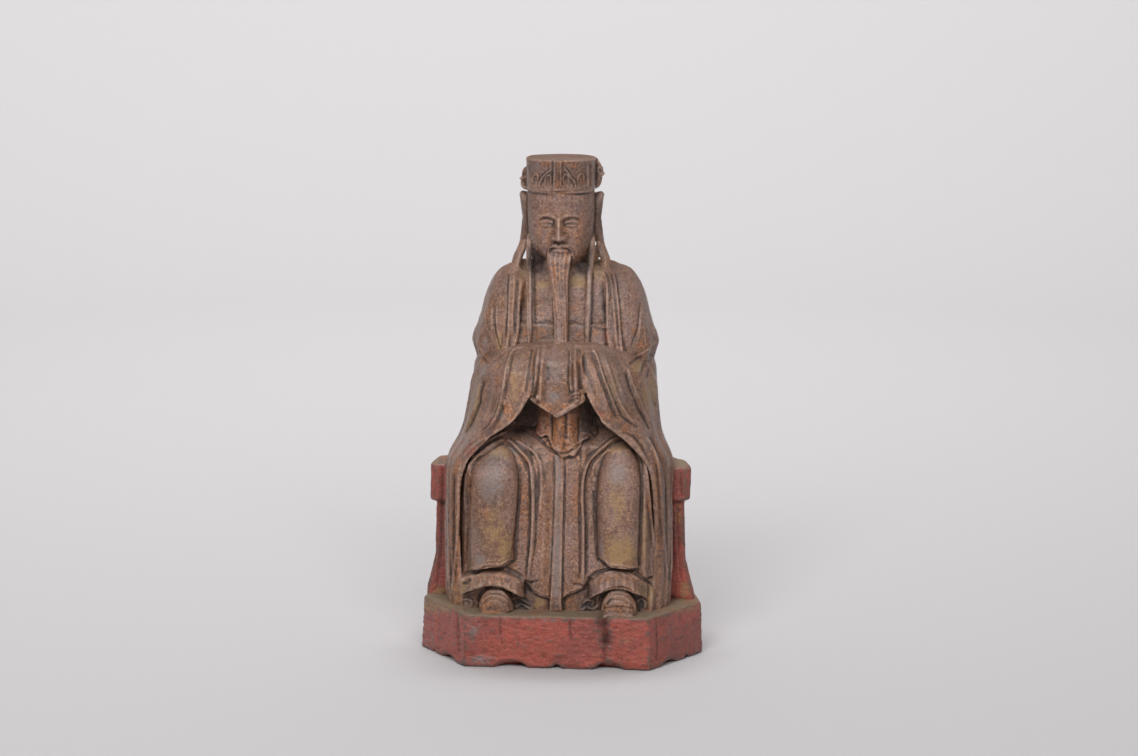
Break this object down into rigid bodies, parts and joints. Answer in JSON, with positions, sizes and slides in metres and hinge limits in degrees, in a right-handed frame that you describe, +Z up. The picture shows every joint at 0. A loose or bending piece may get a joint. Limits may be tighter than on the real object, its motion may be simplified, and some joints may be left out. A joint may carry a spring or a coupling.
{
  "type": "daoist deity figure",
  "caption": "Seated robed deity in an official's cap on a throne, carved with its scalloped plinth from one block of wood, lacquered and worn.",
  "frame": {"origin": "middle of the flat underside of the plinth", "axes": "+Z up, the figure faces -Y, +X towards the viewer's right"},
  "size_m": [0.161, 0.104, 0.28],
  "materials": {
    "aged_lacquer": "worn brown lacquer with traces of gilding, red lacquer on throne and plinth"
  },
  "bodies": {
    "root": {"daoist_deity_figure": "aged_lacquer"}
  },
  "joints": []
}
